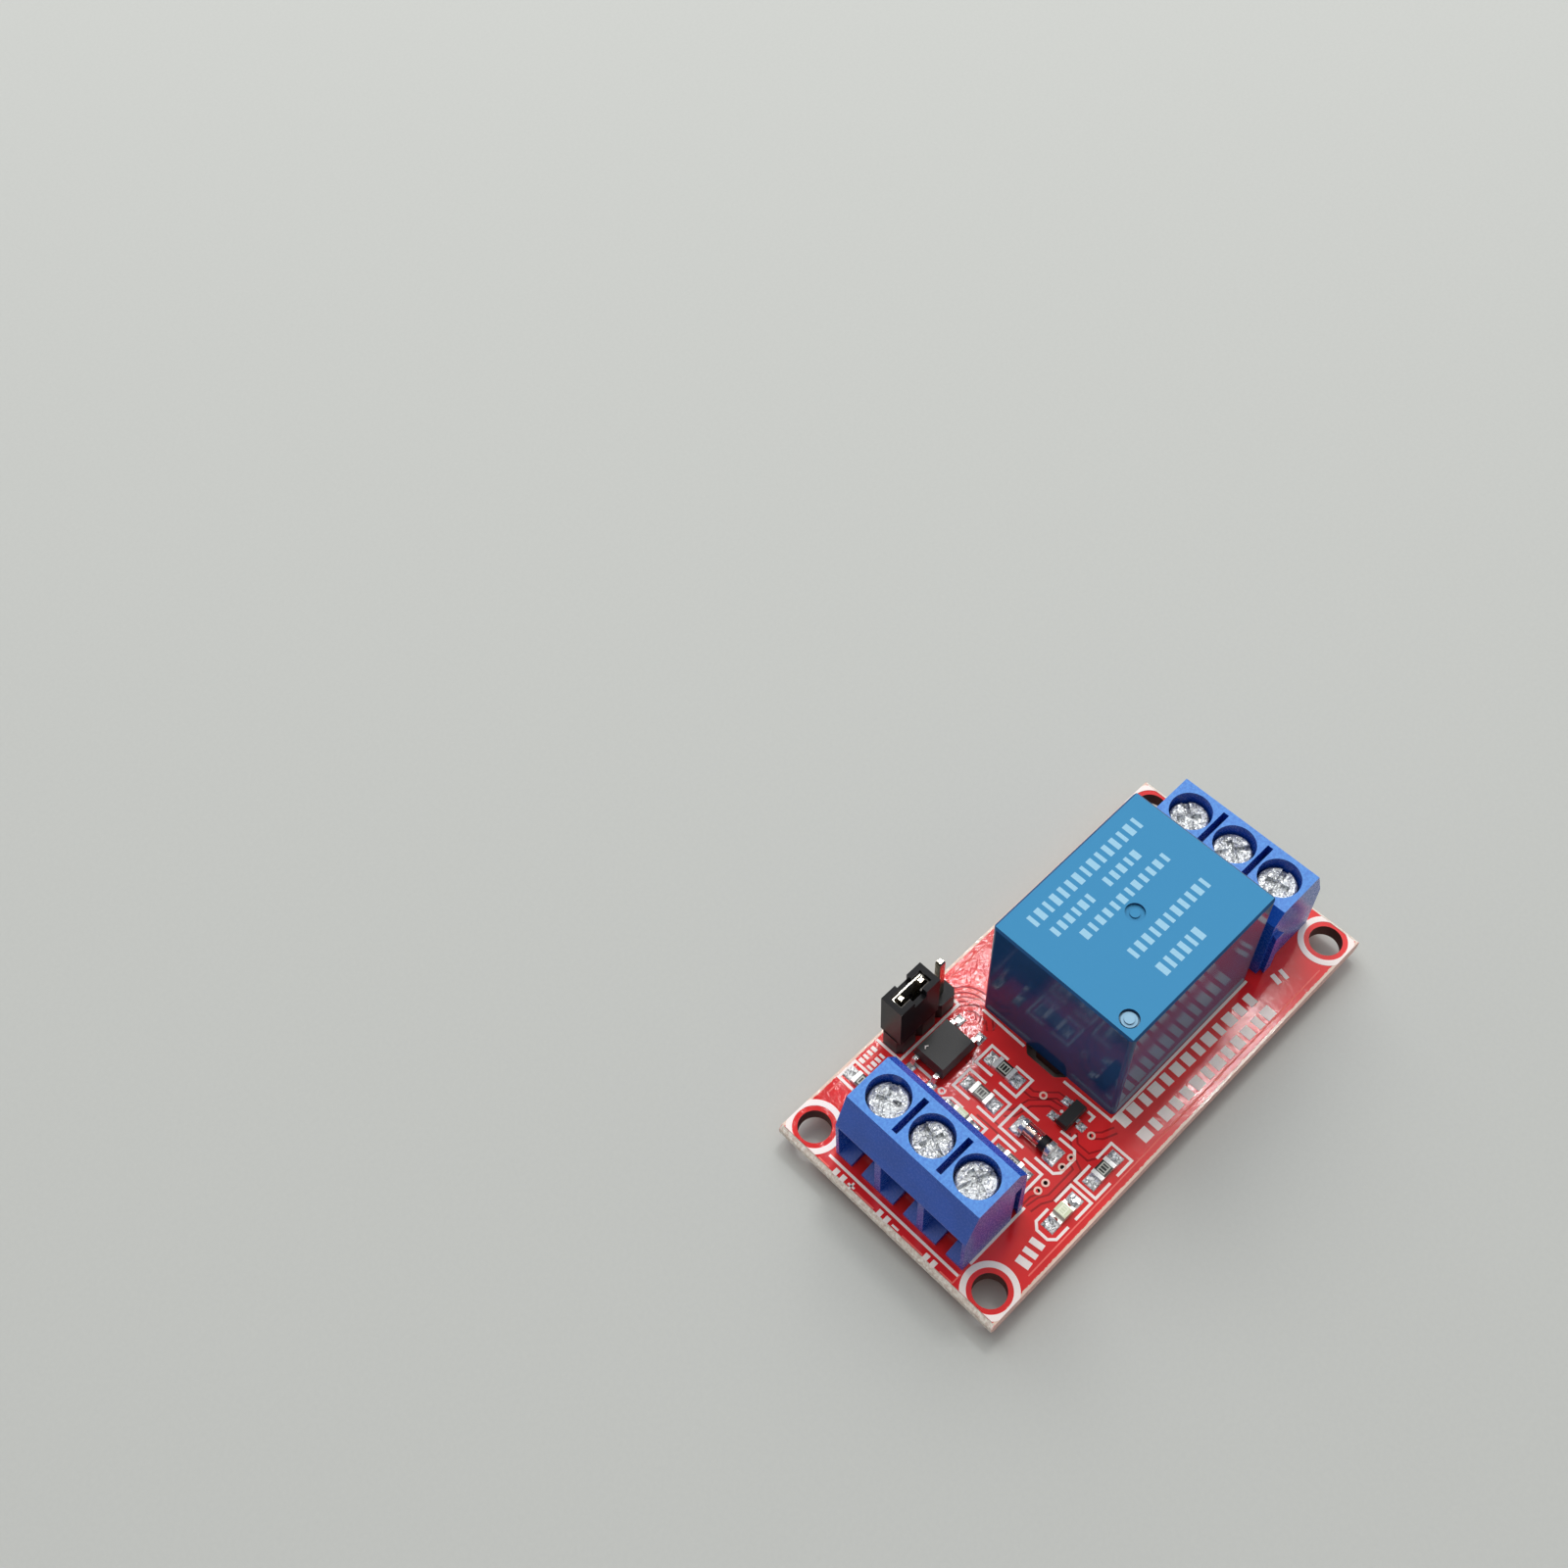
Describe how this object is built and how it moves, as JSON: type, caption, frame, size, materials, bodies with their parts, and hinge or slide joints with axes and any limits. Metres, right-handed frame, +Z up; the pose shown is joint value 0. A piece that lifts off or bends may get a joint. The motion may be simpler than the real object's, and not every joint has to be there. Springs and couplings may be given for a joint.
{
  "type": "relay module board",
  "caption": "Red circuit board with a blue sealed relay, two 3-pole screw terminal blocks, a pin header with jumper cap and small surface-mounted parts.",
  "frame": {"origin": "under the middle of the board, at the tips of the trimmed pins that it stands on", "axes": "+X along the board towards the output block, +Y across it towards the pin header's side, +Z up through the relay"},
  "size_m": [0.051, 0.0254, 0.0184],
  "materials": {
    "solder_mask": "gloss red lacquer over glass-fibre laminate",
    "solder": "bright solder",
    "block_blue": "moulded polyamide, semi-gloss",
    "tinned_metal": "tin plate",
    "zinc_screw": "bright zinc plate",
    "relay_blue": "gloss sides and a fine matt top",
    "relay_base_dark": "moulded",
    "bobbin_white": "moulded",
    "enamelled_copper": "enamelled copper wire",
    "relay_iron": "plated iron",
    "spring_bronze": "rolled bronze strip",
    "silver_contact": "silver alloy",
    "brass_pin": "rolled brass",
    "header_black": "moulded",
    "header_gold": "bright plate",
    "jumper_black": "moulded",
    "chip_black": "moulded epoxy",
    "lead_tin": "tin plate",
    "diode_glass": "clear glass",
    "resistor_black": "glazed chip with tinned ends",
    "lamp_clear": "clear epoxy over a pale plate"
  },
  "bodies": {
    "board": {"pcb": "solder_mask", "solder_joints": "solder", "input_terminal_housing": "block_blue", "output_terminal_housing": "block_blue", "input_terminal_cages": "tinned_metal", "output_terminal_cages": "tinned_metal", "relay_cover": "relay_blue", "relay_base": "relay_base_dark", "relay_bobbin": "bobbin_white", "relay_coil": "enamelled_copper", "relay_core": "relay_iron", "relay_yoke": "relay_iron", "relay_return_leaf": "spring_bronze", "relay_contact_no": "brass_pin", "relay_contact_nc": "brass_pin", "relay_contact_tips": "silver_contact", "relay_common_pin": "brass_pin", "relay_coil_pins": "lead_tin", "header_base": "header_black", "header_pins": "header_gold", "jumper_cap": "jumper_black", "jumper_contact": "header_gold", "optocoupler_body": "chip_black", "optocoupler_leads": "lead_tin", "transistor_body": "chip_black", "transistor_leads": "lead_tin", "diode_glass": "diode_glass", "diode_end_caps": "lead_tin", "resistor_1": "resistor_black", "resistor_2": "resistor_black", "resistor_3": "resistor_black", "resistor_4": "resistor_black", "resistor_5": "resistor_black", "power_lamp": "lamp_clear", "signal_lamp": "lamp_clear"},
    "input_wire_guard_1": {"input_wire_guard_1": "tinned_metal"},
    "input_screw_1": {"input_screw_1": "zinc_screw"},
    "input_wire_guard_2": {"input_wire_guard_2": "tinned_metal"},
    "input_screw_2": {"input_screw_2": "zinc_screw"},
    "input_wire_guard_3": {"input_wire_guard_3": "tinned_metal"},
    "input_screw_3": {"input_screw_3": "zinc_screw"},
    "output_wire_guard_1": {"output_wire_guard_1": "tinned_metal"},
    "output_screw_1": {"output_screw_1": "zinc_screw"},
    "output_wire_guard_2": {"output_wire_guard_2": "tinned_metal"},
    "output_screw_2": {"output_screw_2": "zinc_screw"},
    "output_wire_guard_3": {"output_wire_guard_3": "tinned_metal"},
    "output_screw_3": {"output_screw_3": "zinc_screw"},
    "relay_armature": {"relay_armature": "relay_iron", "relay_blade": "spring_bronze", "relay_moving_contact": "silver_contact"}
  },
  "joints": [
    {"name": "input_guard_slide_1", "type": "slide", "parent": "board", "child": "input_wire_guard_1", "axis": [0, 0, -1], "range_m": [-0.0005, 0.00175]},
    {"name": "input_screw_turn_1", "type": "hinge", "parent": "input_wire_guard_1", "child": "input_screw_1", "pos_m": [-0.0197, 0.0049, 0.011], "axis": [0, 0, -1], "range_deg": [-360, 1260]},
    {"name": "input_guard_slide_2", "type": "slide", "parent": "board", "child": "input_wire_guard_2", "axis": [0, 0, -1], "range_m": [-0.0005, 0.00175]},
    {"name": "input_screw_turn_2", "type": "hinge", "parent": "input_wire_guard_2", "child": "input_screw_2", "pos_m": [-0.0197, -0.0001, 0.011], "axis": [0, 0, -1], "range_deg": [-360, 1260]},
    {"name": "input_guard_slide_3", "type": "slide", "parent": "board", "child": "input_wire_guard_3", "axis": [0, 0, -1], "range_m": [-0.0005, 0.00175]},
    {"name": "input_screw_turn_3", "type": "hinge", "parent": "input_wire_guard_3", "child": "input_screw_3", "pos_m": [-0.0197, -0.0051, 0.011], "axis": [0, 0, -1], "range_deg": [-360, 1260]},
    {"name": "output_guard_slide_1", "type": "slide", "parent": "board", "child": "output_wire_guard_1", "axis": [0, 0, -1], "range_m": [-0.0005, 0.00175]},
    {"name": "output_screw_turn_1", "type": "hinge", "parent": "output_wire_guard_1", "child": "output_screw_1", "pos_m": [0.0197, -0.00545, 0.011], "axis": [0, 0, -1], "range_deg": [-360, 1260]},
    {"name": "output_guard_slide_2", "type": "slide", "parent": "board", "child": "output_wire_guard_2", "axis": [0, 0, -1], "range_m": [-0.0005, 0.00175]},
    {"name": "output_screw_turn_2", "type": "hinge", "parent": "output_wire_guard_2", "child": "output_screw_2", "pos_m": [0.0197, -0.00045, 0.011], "axis": [0, 0, -1], "range_deg": [-360, 1260]},
    {"name": "output_guard_slide_3", "type": "slide", "parent": "board", "child": "output_wire_guard_3", "axis": [0, 0, -1], "range_m": [-0.0005, 0.00175]},
    {"name": "output_screw_turn_3", "type": "hinge", "parent": "output_wire_guard_3", "child": "output_screw_3", "pos_m": [0.0197, 0.00455, 0.011], "axis": [0, 0, -1], "range_deg": [-360, 1260]},
    {"name": "relay_armature_hinge", "type": "hinge", "parent": "board", "child": "relay_armature", "pos_m": [-0.0018, 0.0001, 0.01401], "axis": [0, 1, 0], "range_deg": [0, 2.4], "stiffness_Nm_per_rad": 0.02, "springref_deg": -5.73}
  ],
  "couplings": [
    {"joint": "input_screw_turn_1", "follows": "input_guard_slide_1", "rad_per_m": 12566},
    {"joint": "input_screw_turn_2", "follows": "input_guard_slide_2", "rad_per_m": 12566},
    {"joint": "input_screw_turn_3", "follows": "input_guard_slide_3", "rad_per_m": 12566},
    {"joint": "output_screw_turn_1", "follows": "output_guard_slide_1", "rad_per_m": 12566},
    {"joint": "output_screw_turn_2", "follows": "output_guard_slide_2", "rad_per_m": 12566},
    {"joint": "output_screw_turn_3", "follows": "output_guard_slide_3", "rad_per_m": 12566}
  ]
}
